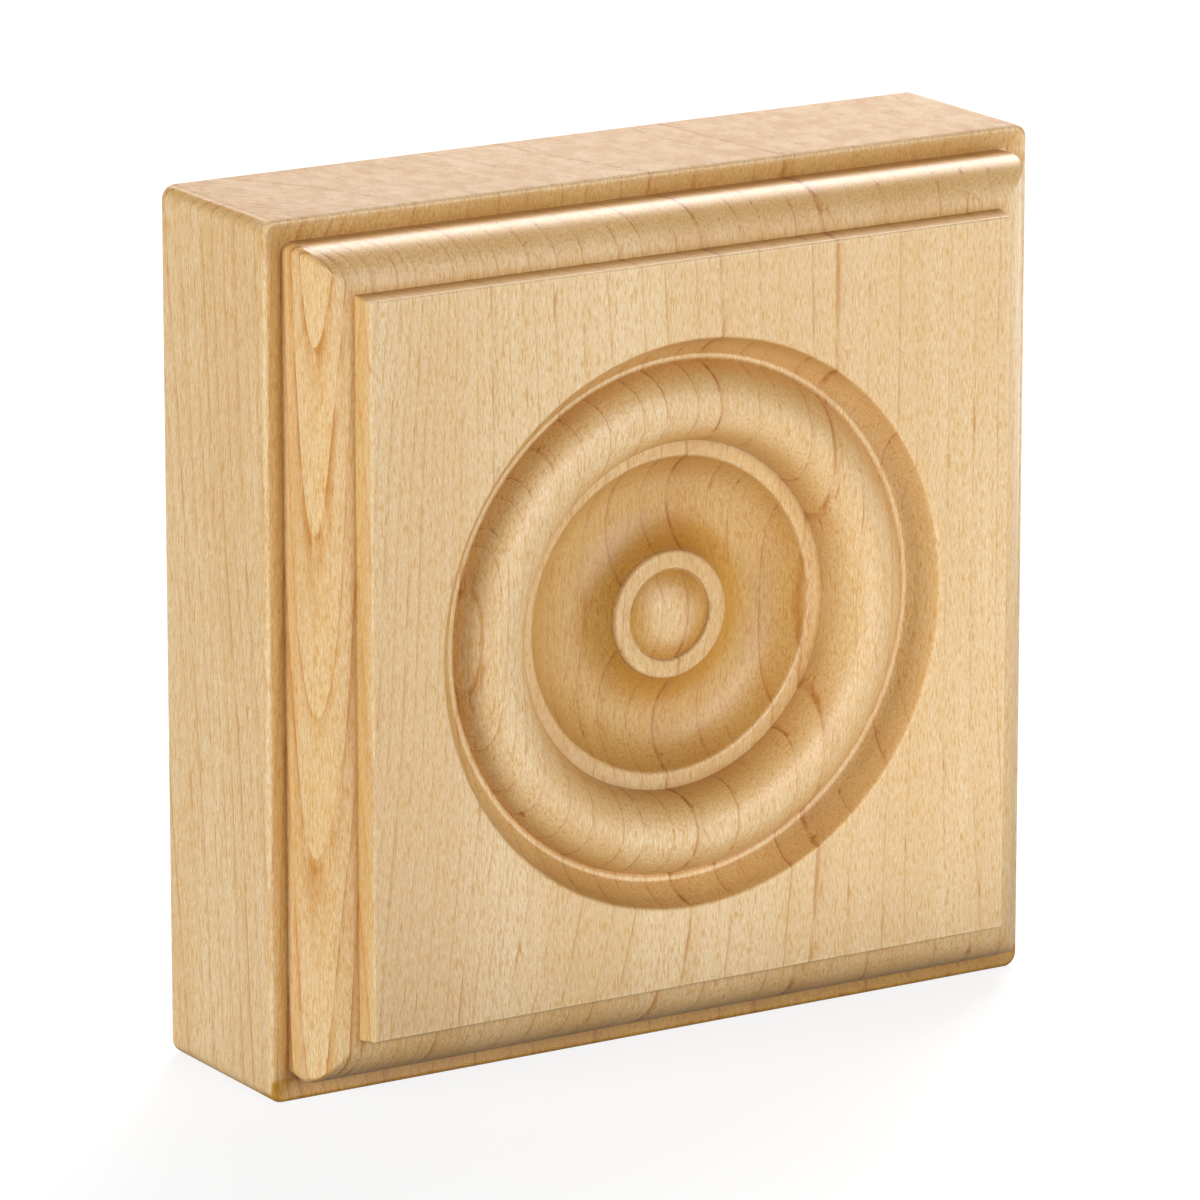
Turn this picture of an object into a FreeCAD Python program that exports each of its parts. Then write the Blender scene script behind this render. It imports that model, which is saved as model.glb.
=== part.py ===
import FreeCAD, Part
import math
import os

# Corner rosette block: one squared piece of hardwood, moulded round the four sides of its face
# and turned with a rosette in the middle. Millimetres, +Z up along the grain. The origin is the
# centre of the back face, which lies flat on the wall, and the face looks towards -Y.

# Square body
block_side = 88.9           # width and height
body_depth = 20.1           # back face to the front arris
corner_radius = 1.3         # easing of the four corners that run from back to front
arris_radius = 0.4          # easing of the front arris

# Moulding round the face, from the side of the body inwards
quirk_width = 2.35          # side of the body to the flank of the ovolo
quirk_fall = 0.5            # front arris down to the bottom of the quirk
ovolo_rise = 5.5            # front arris up to the top of the ovolo
ovolo_radius = 4.0          # quarter round between the flank and the top
ovolo_land = 0.6            # flat between the quarter round and the step
ovolo_corner_radius = 1.0   # easing of the flank where two sides meet
step_rise = 2.4             # top of the ovolo up to the panel
step_batter = 0.3           # lean of the step
panel_edge_radius = 0.25    # easing of the panel's edge

# Turned rosette, from its rim inwards, with depths below the panel
rim_margin = 8.2            # edge of the panel to the rim
cove_width = 2.15           # rim to the narrow land
cove_hollow = 0.35          # how far the cove lies behind its chord
land_width = 0.35           # narrow land at the foot of the cove
land_depth = 3.0            # depth of the land
bead_gap = 0.1              # land to the widest line of the bead
bead_quirk_fall = 0.25      # land down to the foot of the bead
bead_radius = 4.25          # half-round bead
bead_depth = 0.3            # depth of the top of the bead
ring_width = 1.65           # flat ring between the bead and the dish
ring_depth = 4.75           # depth of the ring
dish_slope = 52.0           # slope of the dish at its two edges, in degrees
button_radius = 6.5         # rim of the button
button_depth = 4.85         # depth of the button's rim
button_side = 0.65          # height of the button's side above the dish
button_batter = 0.15        # lean of the button's side
button_rim_width = 1.75     # flat rim of the button
dome_gap = 0.15             # lean of the groove inside the rim
dome_quirk_fall = 0.45      # rim down to the foot of the dome
dome_rise = 1.35            # foot of the dome up to its middle

# Levels in front of the back face, and sizes out from the middle
half_side = block_side / 2
quirk_level = body_depth - quirk_fall
ovolo_level = body_depth + ovolo_rise
panel_level = ovolo_level + step_rise
flank_out = half_side - quirk_width
step_out = flank_out - ovolo_radius - ovolo_land
panel_out = step_out - step_batter
rim_radius = panel_out - rim_margin


def place(out, front):
    return FreeCAD.Vector(out, -front, 0)


def line(start, end):
    return Part.LineSegment(place(*start), place(*end)).toShape()


def arc(start, middle, end):
    return Part.Arc(place(*start), place(*middle), place(*end)).toShape()


def on_circle(centre, radius, degrees):
    angle = math.radians(degrees)
    return centre[0] + radius * math.cos(angle), centre[1] + radius * math.sin(angle)


def chord_arc(start, end, bulge):
    # An arc that leaves its chord by the bulge, to the left when going from start to end
    run = end[0] - start[0]
    rise = end[1] - start[1]
    chord = math.hypot(run, rise)
    middle = ((start[0] + end[0] - 2 * bulge * rise / chord) / 2,
              (start[1] + end[1] + 2 * bulge * run / chord) / 2)
    return arc(start, middle, end)


def polyline(points):
    return [line(start, end) for start, end in zip(points, points[1:])]


def section(edges):
    return Part.Face(Part.Wire(edges))


def run_round(half_section):
    # The section runs along the right-hand side, is mitred, and turns round the four sides
    length = half_section.extrude(FreeCAD.Vector(0, 0, block_side))
    length.translate(FreeCAD.Vector(0, 0, -half_side))
    corners = [(0, 0), (block_side, block_side), (block_side, -block_side), (0, 0)]
    wedge = Part.Face(Part.makePolygon([FreeCAD.Vector(x, 0, z) for x, z in corners]))
    side = length.common(wedge.extrude(FreeCAD.Vector(0, -panel_level, 0)))
    sides = [side.copy() for turn in range(4)]
    for turn, copy in enumerate(sides):
        copy.rotate(FreeCAD.Vector(0, 0, 0), FreeCAD.Vector(0, 1, 0), 90 * turn)
    return sides[0].multiFuse(sides[1:]).removeSplitter()


def ease_corners(solid, out, radius):
    # Keeps what lies inside an upright square of the given half size with rounded corners
    square = Part.makeBox(2 * out, panel_level, 2 * out, FreeCAD.Vector(-out, -panel_level, -out))
    uprights = [edge for edge in square.Edges if abs(edge.tangentAt(edge.FirstParameter).y) > 0.99]
    return solid.common(square.makeFillet(radius, uprights))


def make_body():
    # The eased arris runs from the side of the body to the point where the quirk's slope leaves it
    nose = (half_side - arris_radius, body_depth - arris_radius)
    quirk = (flank_out, quirk_level)
    reach = math.hypot(quirk[0] - nose[0], quirk[1] - nose[1])
    towards = math.degrees(math.atan2(quirk[1] - nose[1], quirk[0] - nose[0])) % 360
    leave = towards - math.degrees(math.acos(arris_radius / reach))
    slope_start = on_circle(nose, arris_radius, leave)
    edges = [
        line((0, 0), (half_side, 0)),
        line((half_side, 0), (half_side, nose[1])),
        arc((half_side, nose[1]), on_circle(nose, arris_radius, leave / 2), slope_start),
        line(slope_start, quirk),
        line(quirk, (0, quirk_level)),
        line((0, quirk_level), (0, 0)),
    ]
    return ease_corners(run_round(section(edges)), half_side, corner_radius)


def make_raised_face():
    # Flank, quarter round and step, up to the flat panel
    round_centre = (flank_out - ovolo_radius, ovolo_level - ovolo_radius)
    step_foot = (step_out, ovolo_level)
    lean = math.degrees(math.atan2(step_batter, step_rise))
    edge_centre = (panel_out - panel_edge_radius * math.tan(math.radians(45 - lean / 2)),
                   panel_level - panel_edge_radius)
    edge_start = on_circle(edge_centre, panel_edge_radius, lean)
    edge_end = on_circle(edge_centre, panel_edge_radius, 90)
    edges = [
        line((0, quirk_level), (flank_out, quirk_level)),
        line((flank_out, quirk_level), (flank_out, round_centre[1])),
        arc((flank_out, round_centre[1]), on_circle(round_centre, ovolo_radius, 45),
            (round_centre[0], ovolo_level)),
        line((round_centre[0], ovolo_level), step_foot),
        line(step_foot, edge_start),
        arc(edge_start, on_circle(edge_centre, panel_edge_radius, 45 + lean / 2), edge_end),
        line(edge_end, (0, panel_level)),
        line((0, panel_level), (0, quirk_level)),
    ]
    return ease_corners(run_round(section(edges)), flank_out, ovolo_corner_radius)


def make_rosette_recess():
    # What the cutter takes away: one section from the rim to the middle, turned a full circle
    land_level = panel_level - land_depth
    ring_level = panel_level - ring_depth
    button_level = panel_level - button_depth
    land_outer = rim_radius - cove_width
    land_inner = land_outer - land_width

    bead_centre = (land_inner - bead_gap - bead_radius, panel_level - bead_depth - bead_radius)
    bead_foot_level = land_level - bead_quirk_fall
    foot_angle = math.degrees(math.asin((bead_foot_level - bead_centre[1]) / bead_radius))
    bead_foot = on_circle(bead_centre, bead_radius, foot_angle)
    bead_inner = on_circle(bead_centre, bead_radius, 180)

    ring_outer = (bead_inner[0], ring_level)
    ring_inner = (bead_inner[0] - ring_width, ring_level)
    dish_end = (button_radius + button_batter, button_level - button_side)
    dish_chord = math.hypot(ring_inner[0] - dish_end[0], ring_inner[1] - dish_end[1])
    dish_bulge = dish_chord / 2 * math.tan(math.radians(dish_slope / 2))

    rim_inner = button_radius - button_rim_width
    dome_foot = (rim_inner - dome_gap, button_level - dome_quirk_fall)
    dome_round = (dome_foot[0] ** 2 + dome_rise ** 2) / (2 * dome_rise)
    dome_top = (0, dome_foot[1] + dome_rise)
    dome_centre = (0, dome_top[1] - dome_round)
    dome_half_angle = math.degrees(math.asin(dome_foot[0] / dome_round))
    dome_middle = on_circle(dome_centre, dome_round, 90 - dome_half_angle / 2)

    clear_level = panel_level + bead_radius
    edges = [
        *polyline([dome_top, (0, clear_level), (rim_radius, clear_level), (rim_radius, panel_level)]),
        chord_arc((rim_radius, panel_level), (land_outer, land_level), cove_hollow),
        *polyline([(land_outer, land_level), (land_inner, land_level), bead_foot]),
        arc(bead_foot, on_circle(bead_centre, bead_radius, 90), bead_inner),
        *polyline([bead_inner, ring_outer, ring_inner]),
        chord_arc(ring_inner, dish_end, dish_bulge),
        *polyline([dish_end, (button_radius, button_level), (rim_inner, button_level), dome_foot]),
        arc(dome_foot, dome_middle, dome_top),
    ]
    return section(edges).revolve(FreeCAD.Vector(0, 0, 0), FreeCAD.Vector(0, 1, 0), 360)


def make_rosette_block():
    block = make_body().fuse(make_raised_face()).removeSplitter()
    return block.cut(make_rosette_recess()).Solids[0]


os.makedirs("parts", exist_ok=True)
rosette_block = make_rosette_block()
rosette_block.exportStep("parts/rosette_block.step")
print("rosette_block", "valid", rosette_block.isValid(), "volume mm3", round(rosette_block.Volume, 1))
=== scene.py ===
import math
import bpy
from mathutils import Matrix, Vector


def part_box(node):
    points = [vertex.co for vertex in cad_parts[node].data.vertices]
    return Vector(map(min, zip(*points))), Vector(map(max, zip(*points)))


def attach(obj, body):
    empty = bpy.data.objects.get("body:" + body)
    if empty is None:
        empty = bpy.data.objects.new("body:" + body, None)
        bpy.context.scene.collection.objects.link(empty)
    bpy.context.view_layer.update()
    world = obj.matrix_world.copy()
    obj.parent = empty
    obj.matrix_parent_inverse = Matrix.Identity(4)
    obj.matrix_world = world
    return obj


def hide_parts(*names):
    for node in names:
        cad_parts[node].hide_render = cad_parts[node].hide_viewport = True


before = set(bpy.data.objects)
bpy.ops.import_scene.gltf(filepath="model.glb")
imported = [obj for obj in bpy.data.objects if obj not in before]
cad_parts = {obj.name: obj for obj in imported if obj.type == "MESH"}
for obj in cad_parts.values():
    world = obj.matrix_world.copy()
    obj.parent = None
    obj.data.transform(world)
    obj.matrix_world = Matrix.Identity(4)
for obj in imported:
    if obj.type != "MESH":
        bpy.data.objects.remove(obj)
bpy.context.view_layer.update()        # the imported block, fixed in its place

mm = 0.001
blockNode = "rosette_block"
blockLow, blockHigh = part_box(blockNode)
halfSide = blockHigh[0] / mm        # middle to each side, mm
panelLevel = -blockLow[1] / mm      # back face to the panel, mm
slack = 0.001                       # places this close count as one, mm
print("frame loaded, block", round(2 * halfSide, 2), "mm wide and", round(panelLevel, 2), "mm deep")


def onCircle(centre, radius, degrees):
    angle = math.radians(degrees)
    return centre[0] + radius * math.cos(angle), centre[1] + radius * math.sin(angle)


def arcPoints(centre, radius, startDegrees, endDegrees, steps):
    turn = (endDegrees - startDegrees) / steps
    return [onCircle(centre, radius, startDegrees + turn * i) for i in range(steps + 1)]


def chordPoints(start, end, bulge, steps):      # an arc that leaves its chord to the left by the bulge
    chord = math.dist(start, end)
    radius = (chord * chord / 4 + bulge * bulge) / (2 * bulge)
    left = (-(end[1] - start[1]) / chord, (end[0] - start[0]) / chord)
    centre = [(start[i] + end[i]) / 2 - left[i] * (radius - bulge) for i in (0, 1)]
    first = math.degrees(math.atan2(start[1] - centre[1], start[0] - centre[0]))
    sweep = math.degrees(2 * math.asin(chord / 2 / radius))
    return arcPoints(centre, radius, first, first - sweep, steps)


def selectVerts(mesh, wanted):      # edit mode, by place in mm
    bpy.ops.mesh.select_mode(type="VERT")
    bpy.ops.mesh.select_all(action="DESELECT")
    bpy.ops.object.mode_set(mode="OBJECT")
    for vert in mesh.vertices:
        vert.select = wanted(vert.co / mm)
    bpy.ops.object.mode_set(mode="EDIT")


def selectEdges(mesh, wanted):      # edit mode, by the places of both ends in mm
    bpy.ops.mesh.select_mode(type="EDGE")
    bpy.ops.mesh.select_all(action="DESELECT")
    bpy.ops.object.mode_set(mode="OBJECT")
    for edge in mesh.edges:
        edge.select = wanted(*(mesh.vertices[i].co / mm for i in edge.vertices))
    bpy.ops.object.mode_set(mode="EDIT")


rosetteSettings = {     # radii from the middle, depths below the panel, mm
    "rimFlat": 0.8,             # panel turned with the rosette, outside its rim
    "rimRadius": 29.0,
    "coveWidth": 2.15,
    "coveHollow": 0.35,
    "landWidth": 0.35,
    "landDepth": 3.0,
    "beadGap": 0.1,
    "beadFootFall": 0.25,       # land down to the foot of the bead
    "beadRadius": 4.25,
    "beadDepth": 0.3,
    "ringWidth": 1.65,
    "ringDepth": 4.75,
    "dishSlope": 52.0,          # degrees, at both edges of the dish
    "buttonRadius": 6.5,
    "buttonDepth": 4.85,
    "buttonSide": 0.65,
    "buttonBatter": 0.15,
    "buttonRimWidth": 1.75,
    "domeGap": 0.15,
    "domeFootFall": 0.45,       # rim of the button down to the foot of the dome
    "domeRise": 1.35,
    "rimEase": 0.3,             # small rounds on the sharp corners of the section
    "landEase": 0.1,
    "ringEase": 0.3,
    "buttonEase": 0.3,
    "buttonRimEase": 0.25,
    "easeSteps": 4,             # edges in each of them
    "coveSteps": 8,             # edges in the large rounds
    "beadSteps": 28,
    "dishSteps": 24,
    "domeSteps": 12,
    "turns": 192,               # faces round the circle
}


def turnedSection(sizes):       # the corners and rounds that the cutter leaves, from the rim to the middle
    landLevel = panelLevel - sizes["landDepth"]
    ringLevel = panelLevel - sizes["ringDepth"]
    buttonLevel = panelLevel - sizes["buttonDepth"]
    beadLevel = panelLevel - sizes["beadDepth"] - sizes["beadRadius"]
    rim = (sizes["rimRadius"], panelLevel)
    landOuter = (sizes["rimRadius"] - sizes["coveWidth"], landLevel)
    landInner = (landOuter[0] - sizes["landWidth"], landLevel)
    beadCentre = (landInner[0] - sizes["beadGap"] - sizes["beadRadius"], beadLevel)
    footRise = landLevel - sizes["beadFootFall"] - beadLevel
    footAngle = math.degrees(math.asin(footRise / sizes["beadRadius"]))
    ringOuter = (beadCentre[0] - sizes["beadRadius"], ringLevel)
    ringInner = (ringOuter[0] - sizes["ringWidth"], ringLevel)
    dishEnd = (sizes["buttonRadius"] + sizes["buttonBatter"], buttonLevel - sizes["buttonSide"])
    dishBulge = math.dist(ringInner, dishEnd) / 2 * math.tan(math.radians(sizes["dishSlope"] / 2))
    buttonEdge = (sizes["buttonRadius"], buttonLevel)
    rimInner = (sizes["buttonRadius"] - sizes["buttonRimWidth"], buttonLevel)
    domeFoot = (rimInner[0] - sizes["domeGap"], buttonLevel - sizes["domeFootFall"])
    domeRound = (domeFoot[0] ** 2 + sizes["domeRise"] ** 2) / (2 * sizes["domeRise"])
    domeCentre = (0, domeFoot[1] + sizes["domeRise"] - domeRound)
    domeAngle = math.degrees(math.asin(domeFoot[0] / domeRound))
    points = [(sizes["rimRadius"] + sizes["rimFlat"], panelLevel)]
    points += chordPoints(rim, landOuter, sizes["coveHollow"], sizes["coveSteps"])
    points += [landInner]
    points += arcPoints(beadCentre, sizes["beadRadius"], footAngle, 180, sizes["beadSteps"])
    points += [ringOuter, ringInner]
    points += chordPoints(ringInner, dishEnd, dishBulge, sizes["dishSteps"])[1:]
    points += [buttonEdge, rimInner]
    points += arcPoints(domeCentre, domeRound, 90 - domeAngle, 90, sizes["domeSteps"])
    eases = [(rim, sizes["rimEase"]), (landInner, sizes["landEase"]), (ringInner, sizes["ringEase"]),
             (buttonEdge, sizes["buttonEase"]), (rimInner, sizes["buttonRimEase"])]
    return points, eases


def turnRosette(sizes):
    bpy.ops.object.select_all(action="DESELECT")
    bpy.ops.mesh.primitive_plane_add(size=mm)
    block = bpy.context.object
    block.name = "rosetteBlock"
    points, eases = turnedSection(sizes)
    bpy.ops.object.mode_set(mode="EDIT")
    bpy.ops.mesh.select_all(action="SELECT")
    bpy.ops.mesh.merge(type="CENTER")
    bpy.ops.transform.translate(value=(points[0][0] * mm, -points[0][1] * mm, 0))
    for here, there in zip(points, points[1:]):     # draw the section as a chain of edges
        step = ((there[0] - here[0]) * mm, (here[1] - there[1]) * mm, 0)
        bpy.ops.mesh.extrude_region_move(TRANSFORM_OT_translate={"value": step})
    for corner, ease in eases:
        place = Vector((corner[0], -corner[1], 0))
        selectVerts(block.data, lambda co: (co - place).length < slack)
        bpy.ops.mesh.bevel(offset=ease * mm, segments=sizes["easeSteps"], affect="VERTICES")
    bpy.ops.mesh.select_all(action="SELECT")
    bpy.ops.mesh.spin(steps=sizes["turns"], angle=2 * math.pi, center=(0, 0, 0), axis=(0, 1, 0))
    bpy.ops.mesh.select_all(action="SELECT")
    bpy.ops.mesh.remove_doubles(threshold=slack * mm)
    print("rosette turned,", len(points), "points in its section")
    return block


mouldingSettings = {    # moulding and body, from the panel outwards, mm
    "panelOut": 37.2,           # middle to the edge of the panel
    "panelEase": 0.25,
    "panelEaseEnd": 10,         # degrees, where the eased edge meets the step
    "stepBatter": 0.3,
    "stepRise": 2.4,
    "ovoloRadius": 4.0,
    "quirkWidth": 2.35,
    "quirkFall": 0.5,
    "bodyDepth": 20.1,          # back face to the front arris
    "arrisRadius": 0.4,
    "backEase": 0.3,
    "easeSteps": 4,             # edges in the panel's edge and the back edge
    "ovoloSteps": 14,
    "arrisSteps": 5,
    "ovoloCorner": 0.12,        # round of the mitre on the step and most of the quarter round
    "nearCorner": 0.35,         # round of the mitre near the flank
    "nearFrom": 0.9,            # distances to the flank
    "nearTo": 0.3,
    "flankCorner": 1.0,
    "quirkCorner": 0.5,
    "bodyCorner": 1.3,          # round of the corners that run from back to front
    "cornerSteps": 5,
    "smoothAngle": 25,          # degrees, sharper edges stay sharp
}


def halfSquare(co):     # half size of the square that a place lies on
    return max(abs(co.x), abs(co.z))


def mouldingSection(sizes):     # half sizes and levels of the square loops, from the panel to the back
    ovoloLevel = panelLevel - sizes["stepRise"]
    stepOut = sizes["panelOut"] + sizes["stepBatter"]
    flankOut = halfSide - sizes["quirkWidth"]
    roundCentre = (flankOut - sizes["ovoloRadius"], ovoloLevel - sizes["ovoloRadius"])
    quirkLevel = sizes["bodyDepth"] - sizes["quirkFall"]
    nose = (halfSide - sizes["arrisRadius"], sizes["bodyDepth"] - sizes["arrisRadius"])
    quirkAngle = math.degrees(math.atan2(quirkLevel - nose[1], flankOut - nose[0])) % 360
    reach = math.dist(nose, (flankOut, quirkLevel))
    leave = quirkAngle - math.degrees(math.acos(sizes["arrisRadius"] / reach))
    edgeCentre = (sizes["panelOut"] - sizes["panelEase"], panelLevel - sizes["panelEase"])
    backCentre = (halfSide - sizes["backEase"], sizes["backEase"])
    points = arcPoints(edgeCentre, sizes["panelEase"], 90, sizes["panelEaseEnd"], sizes["easeSteps"])
    points += [(stepOut, ovoloLevel)]
    points += arcPoints(roundCentre, sizes["ovoloRadius"], 90, 0, sizes["ovoloSteps"])
    points += [(flankOut, quirkLevel)]
    points += arcPoints(nose, sizes["arrisRadius"], leave, 0, sizes["arrisSteps"])
    points += arcPoints(backCentre, sizes["backEase"], 0, -90, sizes["easeSteps"])
    return points


def runMoulding(block, sizes, turns):
    points = mouldingSection(sizes)
    half, level = points[0]
    rimTop = max(vert.co.x for vert in block.data.vertices) / mm
    bpy.ops.mesh.primitive_plane_add(size=2 * half * mm, location=(0, -level * mm, 0),
                                     rotation=(math.pi / 2, 0, 0))
    bpy.ops.mesh.delete(type="ONLY_FACE")

    def onSquare(a, b):
        return all(abs(halfSquare(co) - half) < slack for co in (a, b))

    def onRim(a, b):
        return all(abs(math.hypot(co.x, co.z) - rimTop) < slack and abs(co.y + level) < slack
                   for co in (a, b))

    selectEdges(block.data, onSquare)
    bpy.ops.mesh.subdivide(number_cuts=turns // 4 - 1)
    selectEdges(block.data, lambda a, b: onSquare(a, b) or onRim(a, b))
    bpy.ops.mesh.bridge_edge_loops()        # the flat panel, from the rim to its square edge
    selectEdges(block.data, onSquare)
    for nextHalf, nextLevel in points[1:]:
        step = (0, (level - nextLevel) * mm, 0)
        bpy.ops.mesh.extrude_region_move(TRANSFORM_OT_translate={"value": step})
        grow = nextHalf / half
        bpy.ops.transform.resize(value=(grow, 1, grow), center_override=(0, 0, 0))
        half, level = nextHalf, nextLevel
    bpy.ops.mesh.edge_face_add()            # plain flat back
    print("moulding run round in", len(points), "square loops")


def easeCorners(block, sizes):      # rounds the mitred corners, least on the quarter round
    flankOut = halfSide - sizes["quirkWidth"]
    noseOut = halfSide - sizes["arrisRadius"]
    widest = sizes["bodyCorner"]
    zones = [       # from half size, to half size, radius of the corner there
        (sizes["panelOut"], flankOut - sizes["nearFrom"], sizes["ovoloCorner"]),
        (flankOut - sizes["nearFrom"], flankOut - sizes["nearTo"], sizes["nearCorner"]),
        (flankOut - sizes["nearTo"], flankOut + slack, sizes["flankCorner"]),
        (flankOut + slack, noseOut, sizes["quirkCorner"]),
        (noseOut, halfSide + slack, widest),
    ]

    def onMitre(co):
        return abs(abs(co.x) - abs(co.z)) < slack

    for low, high, radius in zones:
        selectEdges(block.data, lambda a, b: onMitre(a) and onMitre(b)
                    and low < (halfSquare(a) + halfSquare(b)) / 2 <= high)
        bpy.ops.transform.edge_bevelweight(value=radius / widest)
    bpy.ops.object.mode_set(mode="OBJECT")
    bevel = block.modifiers.new("corners", "BEVEL")
    bevel.width = widest * mm
    bevel.segments = sizes["cornerSteps"]
    bevel.limit_method = "WEIGHT"
    bevel.use_clamp_overlap = False
    bpy.ops.object.modifier_apply(modifier=bevel.name)


def finishSurface(block, sizes):
    bpy.ops.object.shade_smooth_by_angle(angle=math.radians(sizes["smoothAngle"]))
    weighted = block.modifiers.new("flat faces", "WEIGHTED_NORMAL")
    weighted.keep_sharp = True
    bpy.ops.object.modifier_apply(modifier=weighted.name)


def buildBlock():
    block = turnRosette(rosetteSettings)
    runMoulding(block, mouldingSettings, rosetteSettings["turns"])
    bpy.ops.mesh.select_all(action="SELECT")
    bpy.ops.mesh.normals_make_consistent(inside=False)
    easeCorners(block, mouldingSettings)
    finishSurface(block, mouldingSettings)
    print("block finished,", len(block.data.polygons), "faces")
    return block


def plug(tree, value, socket):      # a link where the value is a socket, or else a plain setting
    if isinstance(value, bpy.types.NodeSocket):
        tree.links.new(value, socket)
    else:
        socket.default_value = value


def calc(tree, operation, *values, clamp=False):
    node = tree.nodes.new("ShaderNodeMath")
    node.operation = operation
    node.use_clamp = clamp
    for value, socket in zip(values, node.inputs):
        plug(tree, value, socket)
    return node.outputs[0]


def remap(tree, value, low, high, toLow=0.0, toHigh=1.0, smooth=True):
    node = tree.nodes.new("ShaderNodeMapRange")
    node.interpolation_type = "SMOOTHSTEP" if smooth else "LINEAR"
    limits = {"From Min": low, "From Max": high, "To Min": toLow, "To Max": toHigh}
    plug(tree, value, node.inputs["Value"])
    for name, limit in limits.items():
        plug(tree, limit, node.inputs[name])
    return node.outputs["Result"]


def stretch(tree, place, scale):        # scales a place along each axis
    node = tree.nodes.new("ShaderNodeVectorMath")
    node.operation = "MULTIPLY"
    plug(tree, place, node.inputs[0])
    node.inputs[1].default_value = scale
    return node.outputs[0]


def axesOf(tree, place):
    node = tree.nodes.new("ShaderNodeSeparateXYZ")
    tree.links.new(place, node.inputs[0])
    return node.outputs


def cloud(tree, place, scale, detail, roughness=0.5):      # noise with its own scale on each axis, per mm
    node = tree.nodes.new("ShaderNodeTexNoise")
    plug(tree, stretch(tree, place, scale), node.inputs["Vector"])
    node.inputs["Scale"].default_value = 1.0
    node.inputs["Detail"].default_value = detail
    node.inputs["Roughness"].default_value = roughness
    return node.outputs["Fac"]


def blendColour(tree, amount, first, second, mode="MIX"):
    node = tree.nodes.new("ShaderNodeMix")
    node.data_type = "RGBA"
    node.blend_type = mode
    plug(tree, amount, node.inputs["Factor"])
    plug(tree, first, node.inputs[6])       # the colour sockets, A and B
    plug(tree, second, node.inputs[7])
    return node.outputs[2]


def newGroup(name, *outputs):       # an empty node group that takes a place and gives out values
    tree = bpy.data.node_groups.new(name, "ShaderNodeTree")
    tree.interface.new_socket("Place", in_out="INPUT", socket_type="NodeSocketVector")
    for label in outputs:
        tree.interface.new_socket(label, in_out="OUTPUT", socket_type="NodeSocketFloat")
    given = tree.nodes.new("NodeGroupInput").outputs["Place"]
    wanted = tree.nodes.new("NodeGroupOutput").inputs
    return tree, stretch(tree, given, (1 / mm,) * 3), wanted


ringSettings = {        # growth layers, mm. A grain is its scale on each axis, and its detail
    "fanAxis": 24.5,            # layers stand square to the face here, and fan out to its left
    "fanRate": 0.0132,
    "bow": 0.18,                # lean of the layers towards the foot of the block
    "bowMiddle": 15.0,
    "bowReach": 52.0,
    "bowWidth": 36.0,           # the lean grows from the fan's axis as far as this
    "left": (-20.0, -34.0),     # over this stretch the lean gives way to a climb along the grain
    "climb": 0.062,
    "wander": 3.0,
    "wanderGrain": ((0.045, 0.045, 0.016), 1.0),
    "spacing": 3.2,
    "closeFrom": 42.0,          # the layers lie closer from here to the left side
    "closeSpacing": 1.3,
    "unevenRate": 0.8,          # thicker and thinner layers
    "uneven": 0.9,
    "lineRise": (0.92, 0.965),  # a dark line ends each layer, in parts of its thickness
    "lineFall": (0.975, 1.0),
    "tailPower": 5.0,           # each layer darkens towards its line
    "tail": 0.35,
    "leftTail": 0.95,
    "faintest": 0.35,           # the weakest line
    "breakGrain": ((0.9, 0.9, 0.16), 3.0),
    "breakLimits": (0.35, 0.6),
    "breakLeast": 0.25,
    "ovoloFrom": (-37.4, -38.4),        # the lines are stronger on the left ovolo
    "ovoloTo": (-42.6, -42.0),
    "dash": 0.8,                # short dashes beside the lines
    "dashGrain": ((1.5, 1.5, 0.28), 1.0),
    "dashLimits": (0.6, 0.7),
    "dashPart": (0.78, 0.97),
    "toneGrain": ((0.09, 0.09, 0.012), 3.0),
}


def countLayers(tree, place, leftSide, look):      # a number that grows by one from each layer to the next
    x, y, z = axesOf(tree, place)
    depth = calc(tree, "ADD", y, panelLevel)
    out = calc(tree, "SUBTRACT", look["fanAxis"], x)
    bow = calc(tree, "DIVIDE", calc(tree, "SUBTRACT", z, look["bowMiddle"]), look["bowReach"])
    bow = calc(tree, "MULTIPLY", calc(tree, "POWER", bow, 2.0), look["bow"])
    lean = calc(tree, "MULTIPLY", bow, calc(tree, "MINIMUM", out, look["bowWidth"]))
    lean = calc(tree, "MULTIPLY", lean, calc(tree, "SUBTRACT", 1.0, leftSide))
    climb = calc(tree, "MULTIPLY", calc(tree, "MULTIPLY", z, look["climb"]), leftSide)
    layer = calc(tree, "ADD", calc(tree, "SUBTRACT", out, lean), climb)
    fan = calc(tree, "ADD", calc(tree, "MULTIPLY", depth, look["fanRate"]), 1.0)
    layer = calc(tree, "DIVIDE", layer, fan)
    wander = calc(tree, "SUBTRACT", cloud(tree, place, *look["wanderGrain"]), 0.5)
    layer = calc(tree, "ADD", layer, calc(tree, "MULTIPLY", wander, look["wander"]))
    close = calc(tree, "MAXIMUM", calc(tree, "SUBTRACT", layer, look["closeFrom"]), 0.0)
    closeRate = 1 / look["closeSpacing"] - 1 / look["spacing"]
    count = calc(tree, "DIVIDE", layer, look["spacing"])
    count = calc(tree, "ADD", count, calc(tree, "MULTIPLY", close, closeRate))
    uneven = tree.nodes.new("ShaderNodeTexNoise")
    uneven.noise_dimensions = "1D"
    tree.links.new(count, uneven.inputs["W"])
    uneven.inputs["Scale"].default_value = look["unevenRate"]
    uneven.inputs["Detail"].default_value = 0.0
    return calc(tree, "ADD", count, calc(tree, "MULTIPLY", uneven.outputs["Fac"], look["uneven"]))


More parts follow.
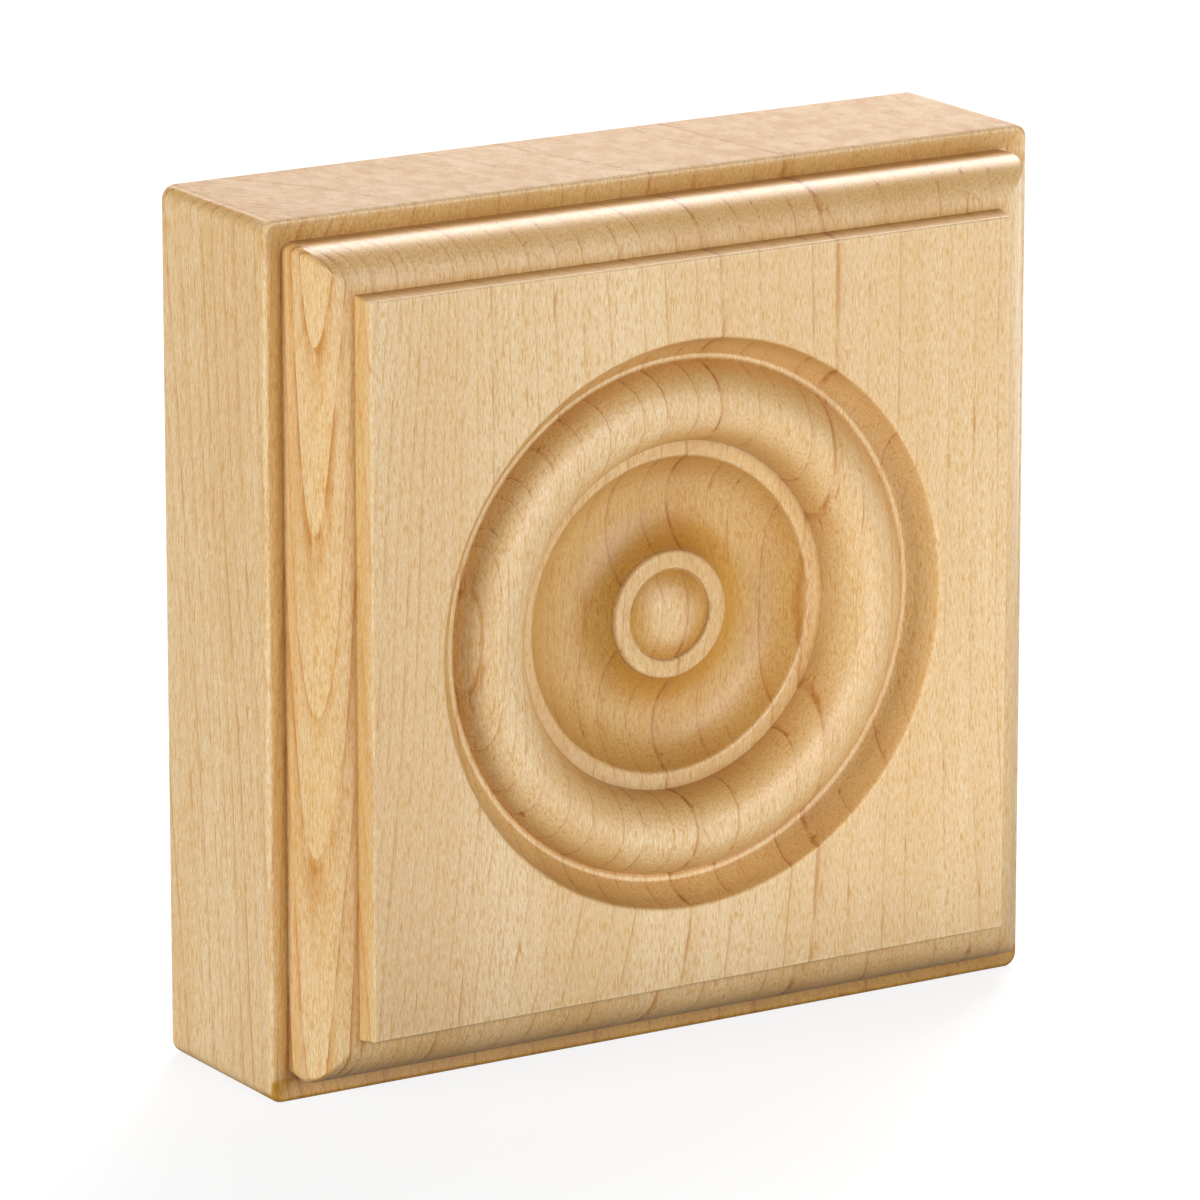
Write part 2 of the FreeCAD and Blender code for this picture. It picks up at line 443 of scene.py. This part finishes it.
def growthRings(look):
    tree, place, wanted = newGroup("growthRings", "Line", "Tone")
    x = axesOf(tree, place)["X"]
    leftSide = remap(tree, x, *look["left"])
    count = countLayers(tree, place, leftSide, look)
    pick = tree.nodes.new("ShaderNodeTexWhiteNoise")
    pick.noise_dimensions = "1D"
    tree.links.new(calc(tree, "FLOOR", count), pick.inputs["W"])
    part = calc(tree, "FRACT", count)
    rise = remap(tree, part, *look["lineRise"])
    edge = calc(tree, "MULTIPLY", rise, remap(tree, part, *look["lineFall"], 1.0, 0.0))
    tailRate = remap(tree, leftSide, 0.0, 1.0, look["tail"], look["leftTail"], smooth=False)
    tail = calc(tree, "MULTIPLY", calc(tree, "POWER", part, look["tailPower"]), tailRate)
    strength = remap(tree, pick.outputs["Value"], 0.0, 1.0, look["faintest"], 1.0, smooth=False)
    gaps = cloud(tree, place, *look["breakGrain"])
    broken = remap(tree, gaps, *look["breakLimits"], look["breakLeast"], 1.0)
    line = calc(tree, "MULTIPLY", calc(tree, "MAXIMUM", edge, tail), strength)
    line = calc(tree, "MULTIPLY", line, broken)
    onOvolo = calc(tree, "MULTIPLY", remap(tree, x, *look["ovoloFrom"]), remap(tree, x, *look["ovoloTo"]))
    line = calc(tree, "MULTIPLY", line, calc(tree, "ADD", onOvolo, 1.0), clamp=True)
    dashes = remap(tree, cloud(tree, place, *look["dashGrain"]), *look["dashLimits"])
    dashes = calc(tree, "MULTIPLY", dashes, remap(tree, part, *look["dashPart"]))
    line = calc(tree, "MAXIMUM", line, calc(tree, "MULTIPLY", dashes, look["dash"]))
    tree.links.new(line, wanted["Line"])
    tree.links.new(cloud(tree, place, *look["toneGrain"]), wanted["Tone"])
    return tree


fleckSettings = {       # scale on each axis, detail and roughness
    "fleck": ((4.4, 4.4, 0.8), 2.0, 0.6),
    "fleckLimits": (0.52, 0.68),
    "fibre": ((8.0, 8.0, 1.1), 2.0, 0.8),
    "streak": ((2.2, 2.2, 0.06), 2.0, 0.6),
    "stain": ((0.5, 0.35, 0.35), 4.0, 0.65),
}


def poreFlecks(look):
    tree, place, wanted = newGroup("poreFlecks", "Fleck", "Fibre", "Streak", "Stain")
    short = remap(tree, cloud(tree, place, *look["fleck"]), *look["fleckLimits"])
    tree.links.new(short, wanted["Fleck"])
    tree.links.new(cloud(tree, place, *look["fibre"]), wanted["Fibre"])
    tree.links.new(cloud(tree, place, *look["streak"]), wanted["Streak"])
    tree.links.new(cloud(tree, place, *look["stain"]), wanted["Stain"])
    return tree


paintedShadeSettings = {      # painted shade in the grooves and hollows, darker where shade falls: (mm from the middle, amount)
    "front": (-17.0, -18.5),        # it sets in between these levels
    "low": (-41.8, -42.4),          # and the low side takes over between these heights
    "turned": [
        (0.0, 0.2), (2.2, 0.3), (3.4, 0.78), (4.4, 0.95),       # dome and its groove
        (4.7, 0.4), (6.3, 0.4),                                 # rim of the button
        (6.75, 0.96), (9.0, 0.94), (10.5, 0.74), (12.5, 0.74), (16.1, 0.72),        # dish
        (16.4, 0.38), (17.7, 0.42),                             # flat ring
        (18.2, 0.36), (19.5, 0.18), (21.0, 0.1), (22.5, 0.08), (24.5, 0.12), (26.1, 0.4),       # bead
        (26.5, 0.15), (26.85, 0.15),                            # narrow land
        (27.05, 0.48), (28.7, 0.3), (29.1, 0.0),                # cove
    ],
    "moulded": [
        (37.0, 0.0), (37.3, 0.3), (37.6, 0.55), (38.3, 0.2),    # step and its foot
        (39.5, 0.12), (42.05, 0.1),                             # quarter round
        (42.2, 0.65), (42.6, 0.6), (43.6, 0.45),                # quirk
        (44.1, 0.1), (44.3, 0.0),                               # arris
    ],
    "lowSide": [(41.8, 0.1), (42.2, 1.0), (44.25, 1.0), (44.42, 0.0)],      # painted shade on the lower quirk, under the bottom quarter round
}

edgeWearHighlightSettings = {        # lighter on the sharp edges, in the same way: partly finish rubbed thin, partly painted highlight
    "front": (-17.0, -18.5),
    "low": (-41.8, -42.4),
    "turned": [
        (4.5, 0.0), (4.75, 0.5), (5.0, 0.0),                    # inside of the button's rim
        (6.2, 0.0), (6.5, 0.4), (6.7, 0.0),                     # outside of it
        (16.0, 0.0), (16.3, 0.35), (16.6, 0.0),                 # inside of the flat ring
        (26.35, 0.0), (26.5, 0.25), (26.85, 0.25), (27.0, 0.0),     # narrow land
    ],
    "moulded": [
        (36.7, 0.0), (37.05, 0.6), (37.3, 0.0),                 # edge of the panel
        (43.8, 0.0), (44.2, 0.6), (44.4, 0.0),                  # arris
    ],
    "lowSide": [(41.8, 0.0), (44.3, 0.0)],
}


def stepCurve(tree, value, stops):      # straight runs between the stops
    low, high = stops[0][0], stops[-1][0]
    ramp = tree.nodes.new("ShaderNodeValToRGB")
    tree.links.new(remap(tree, value, low, high, smooth=False), ramp.inputs["Fac"])
    elements = ramp.color_ramp.elements
    while len(elements) < len(stops):
        elements.new(0.5)
    for element, (place, amount) in zip(elements, stops):
        element.position = (place - low) / (high - low)
        element.color = (amount,) * 3 + (1,)
    return ramp.outputs["Color"]


def byPlace(name, look):       # follows the circles of the rosette and the squares of the moulding
    tree, place, wanted = newGroup(name, "Amount")
    x, y, z = axesOf(tree, place)
    squares = calc(tree, "ADD", calc(tree, "MULTIPLY", x, x), calc(tree, "MULTIPLY", z, z))
    radius = calc(tree, "SQRT", squares)
    out = calc(tree, "MAXIMUM", calc(tree, "ABSOLUTE", x), calc(tree, "ABSOLUTE", z))
    turned = stepCurve(tree, radius, look["turned"])
    moulded = stepCurve(tree, out, look["moulded"])
    lowSide = stepCurve(tree, out, look["lowSide"])
    moulded = blendColour(tree, remap(tree, z, *look["low"]), moulded, lowSide)
    front = remap(tree, y, *look["front"])
    amount = calc(tree, "MULTIPLY", calc(tree, "MAXIMUM", turned, moulded), front)
    tree.links.new(amount, wanted["Amount"])
    return tree


mapleSettings = {       # colours are linear
    "pale": (0.86, 0.655, 0.39, 1),
    "warm": (0.80, 0.57, 0.305, 1),
    "toneLimits": (0.35, 0.65),
    "streak": (0.78, 0.53, 0.22, 1),
    "streakLimits": (0.4, 0.7),
    "streakMost": 0.45,
    "fleck": (0.70, 0.39, 0.085, 1),
    "fleckMost": 0.7,
    "line": (0.60, 0.285, 0.07, 1),
    "endLine": (0.46, 0.20, 0.05, 1),
    "endLineRate": 1.25,        # lines are stronger on the end grain
    "endGrain": (0.84, 0.69, 0.46, 1),
    "endPower": 1.3,
    "sawnEnd": (0.71, 0.66, 0.68, 1),
    "stainedEnd": (0.61, 0.50, 0.41, 1),
    "stainLimits": (0.38, 0.62),
    "sawnFrom": 0.15,           # mm short of the two sawn ends, where they set in
    "sawnTo": 0.02,
    # painted shade colour for the grooves, hollows and lower quirk
    "shadeInGrooves": (0.71, 0.52, 0.15, 1),
    # lighter sharp edges: partly worn finish, partly painted highlight
    "wornAndHighlit": (0.86, 0.68, 0.41, 1),
    "wornHighlightLimits": (0.35, 0.6),
    "wornHighlightLeast": 0.3,
    "darkStrand": (0.87, 0.77, 0.61, 1),
    "lightStrand": (1.06, 1.11, 1.21, 1),
    "strandLimits": (0.3, 0.7),
    "roughness": (0.37, 0.5),       # from dark to light strands
    "sawnRoughness": 0.75,
    "coat": 0.3,
    "coatRoughness": 0.36,
    "bump": 0.18,
    "bumpDepth": 0.04,          # mm
}


def placeGroup(tree, group, place):
    node = tree.nodes.new("ShaderNodeGroup")
    node.node_tree = group
    tree.links.new(place, node.inputs["Place"])
    return node.outputs


def lacqueredMaple(look):
    material = bpy.data.materials.new("lacqueredMaple")
    material.use_nodes = True
    tree = material.node_tree
    shader = tree.nodes["Principled BSDF"]
    where = tree.nodes.new("ShaderNodeTexCoord").outputs
    rings = placeGroup(tree, growthRings(ringSettings), where["Object"])
    flecks = placeGroup(tree, poreFlecks(fleckSettings), where["Object"])
    shadeInGrooves = placeGroup(tree, byPlace("paintedGrooveShade", paintedShadeSettings), where["Object"])
    wornAndHighlit = placeGroup(tree, byPlace("edgeWearAndHighlight", edgeWearHighlightSettings), where["Object"])
    upright = calc(tree, "ABSOLUTE", axesOf(tree, where["Normal"])["Z"])
    height = calc(tree, "ABSOLUTE", axesOf(tree, where["Object"])["Z"])
    sawn = remap(tree, height, (halfSide - look["sawnFrom"]) * mm, (halfSide - look["sawnTo"]) * mm)
    endGrain = calc(tree, "POWER", upright, look["endPower"])
    endGrain = calc(tree, "MULTIPLY", endGrain, calc(tree, "SUBTRACT", 1.0, sawn))
    colour = blendColour(tree, remap(tree, rings["Tone"], *look["toneLimits"]), look["pale"], look["warm"])
    streaks = remap(tree, flecks["Streak"], *look["streakLimits"], 0.0, look["streakMost"])
    colour = blendColour(tree, streaks, colour, look["streak"])
    specks = calc(tree, "MULTIPLY", flecks["Fleck"], look["fleckMost"])
    colour = blendColour(tree, specks, colour, look["fleck"])
    lineRate = remap(tree, endGrain, 0.0, 1.0, 1.0, look["endLineRate"], smooth=False)
    lines = calc(tree, "MULTIPLY", rings["Line"], lineRate, clamp=True)
    colour = blendColour(tree, lines, colour, blendColour(tree, endGrain, look["line"], look["endLine"]))
    colour = blendColour(tree, endGrain, colour, look["endGrain"], "MULTIPLY")
    stains = remap(tree, flecks["Stain"], *look["stainLimits"])
    ends = blendColour(tree, stains, look["sawnEnd"], look["stainedEnd"])
    colour = blendColour(tree, sawn, colour, ends, "MULTIPLY")
    # painted shade: darkens the grooves, hollows and the quirk under the bottom quarter round
    colour = blendColour(tree, shadeInGrooves["Amount"], colour, look["shadeInGrooves"], "MULTIPLY")
    # lighter sharp edges, partly worn finish and partly painted highlight, broken up by the fibres
    patchy = remap(tree, flecks["Fibre"], *look["wornHighlightLimits"], look["wornHighlightLeast"], 1.0)
    colour = blendColour(tree, calc(tree, "MULTIPLY", wornAndHighlit["Amount"], patchy), colour, look["wornAndHighlit"])
    strands = remap(tree, flecks["Fibre"], *look["strandLimits"])
    strands = blendColour(tree, strands, look["darkStrand"], look["lightStrand"])
    colour = blendColour(tree, 1.0, colour, strands, "MULTIPLY")
    tree.links.new(colour, shader.inputs["Base Color"])
    coat = remap(tree, sawn, 0.0, 1.0, look["coat"], 0.0, smooth=False)
    tree.links.new(coat, shader.inputs["Coat Weight"])
    shader.inputs["Coat Roughness"].default_value = look["coatRoughness"]
    rough = remap(tree, flecks["Fibre"], *look["strandLimits"], *look["roughness"], smooth=False)
    rough = calc(tree, "MAXIMUM", rough, calc(tree, "MULTIPLY", sawn, look["sawnRoughness"]))
    tree.links.new(rough, shader.inputs["Roughness"])
    bump = tree.nodes.new("ShaderNodeBump")
    bump.inputs["Strength"].default_value = look["bump"]
    bump.inputs["Distance"].default_value = look["bumpDepth"] * mm
    tree.links.new(calc(tree, "SUBTRACT", flecks["Fibre"], flecks["Fleck"]), bump.inputs["Height"])
    tree.links.new(bump.outputs["Normal"], shader.inputs["Normal"])
    print("maple mixed, with", len(bpy.data.node_groups), "node groups")
    return material


cameraSettings = {
    "azimuth": -31.79,
    "elevation": 14.75,
    "distance": 850.6,                  # from the aim, mm
    "aim": (-11.26, -28.0, 4.16),       # on the panel, mm
    "lens": 259.8,
    "sensor": 36,
    "clipFrom": 10,                     # mm
}


def lookFrom(azimuth, elevation):       # direction from the block, azimuth nought in front of its face
    around, above = math.radians(azimuth), math.radians(elevation)
    flat = math.cos(above)
    return Vector((math.sin(around) * flat, -math.cos(around) * flat, math.sin(above)))


def setCamera(view):
    bpy.ops.object.camera_add()
    camera = bpy.context.object
    back = lookFrom(view["azimuth"], view["elevation"])
    camera.location = (Vector(view["aim"]) + back * view["distance"]) * mm
    camera.rotation_euler = (-back).to_track_quat("-Z", "Y").to_euler()
    camera.data.lens = view["lens"]
    camera.data.sensor_width = view["sensor"]
    camera.data.clip_start = view["clipFrom"] * mm
    bpy.context.scene.camera = camera
    print("camera set,", view["distance"], "mm away")


studioSettings = {      # metres, unless a note says otherwise
    "floorSize": 6.0,
    "floorColour": (0.2, 0.2, 0.2, 1),
    "floorRoughness": 0.9,
    "floorGlow": 0.85,      # seen by the camera only
    "floorSheen": 0.15,     # floor, seen in the lacquer only
    "sheen": 0.12,          # white surroundings, seen in the lacquer only
    "white": (1, 1, 1, 1),
    "lampWidth": 0.6,
    "cardLevel": 0.001,     # above the floor
    "lamps": {      # azimuth and elevation from the block, distance (m), power (W)
        "left": (-82, 5, 1.0, 12.4),
        "front": (8, 9, 1.0, 6.8),
        "backRight": (130, 45, 1.0, 12.0),
        "backLow": (150, 22, 1.0, 6.0),
    },
    "unmirrored": ["left"],     # not seen in the lacquer
    "cards": {      # lit paper on the floor: right, in front (mm), width (m), power (W)
        "rightCard": (420, 80, 0.4, 1.3),
        "frontCard": (250, 400, 0.2, 0.55),
        "nearCard": (28, 100, 0.1, 0.042),
    },
}


def rayGlow(tree, seen, mirrored):      # strength for the camera, and for reflections in the lacquer
    path = tree.nodes.new("ShaderNodeLightPath").outputs
    direct = calc(tree, "MULTIPLY", path["Is Camera Ray"], seen)
    return calc(tree, "ADD", direct, calc(tree, "MULTIPLY", path["Is Glossy Ray"], mirrored))


def layFloor(studio):
    bpy.ops.mesh.primitive_plane_add(size=studio["floorSize"], location=(0, 0, -halfSide * mm))
    floor = bpy.context.object
    floor.name = "floor"
    paper = bpy.data.materials.new("palePaper")
    paper.use_nodes = True
    tree = paper.node_tree
    shader = tree.nodes["Principled BSDF"]
    shader.inputs["Base Color"].default_value = studio["floorColour"]
    shader.inputs["Roughness"].default_value = studio["floorRoughness"]
    shader.inputs["Specular IOR Level"].default_value = 0.0
    shader.inputs["Emission Color"].default_value = studio["white"]
    glow = rayGlow(tree, studio["floorGlow"], studio["floorSheen"])
    tree.links.new(glow, shader.inputs["Emission Strength"])
    floor.data.materials.append(paper)


def addLamp(name, place, turn, width, power, mirrored=True):
    bpy.ops.object.light_add(type="AREA", location=place)
    holder = bpy.context.object
    holder.name = name
    holder.rotation_euler = turn
    holder.visible_camera = False
    holder.visible_glossy = mirrored
    holder.data.size = width
    holder.data.energy = power


def hangLamps(studio):
    for name, (azimuth, elevation, distance, power) in studio["lamps"].items():
        towards = lookFrom(azimuth, elevation)
        turn = towards.to_track_quat("Z", "Y").to_euler()
        mirrored = name not in studio["unmirrored"]
        addLamp(name, towards * distance, turn, studio["lampWidth"], power, mirrored)
    cardHeight = studio["cardLevel"] - halfSide * mm
    for name, (right, ahead, width, power) in studio["cards"].items():
        addLamp(name, (right * mm, -ahead * mm, cardHeight), (math.pi, 0, 0), width, power)
    print("studio set,", len(studio["lamps"]), "lamps and", len(studio["cards"]), "cards")


def setBackdrop(studio):
    world = bpy.data.worlds.new("studio")
    world.use_nodes = True
    tree = world.node_tree
    back = tree.nodes["Background"]
    back.inputs["Color"].default_value = studio["white"]
    tree.links.new(rayGlow(tree, 1.0, studio["sheen"]), back.inputs["Strength"])
    bpy.context.scene.world = world
    bpy.context.scene.view_settings.view_transform = "Standard"


block = buildBlock()
block.data.materials.append(lacqueredMaple(mapleSettings))
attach(block, "root")
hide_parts(blockNode)
setCamera(cameraSettings)
layFloor(studioSettings)
hangLamps(studioSettings)
setBackdrop(studioSettings)
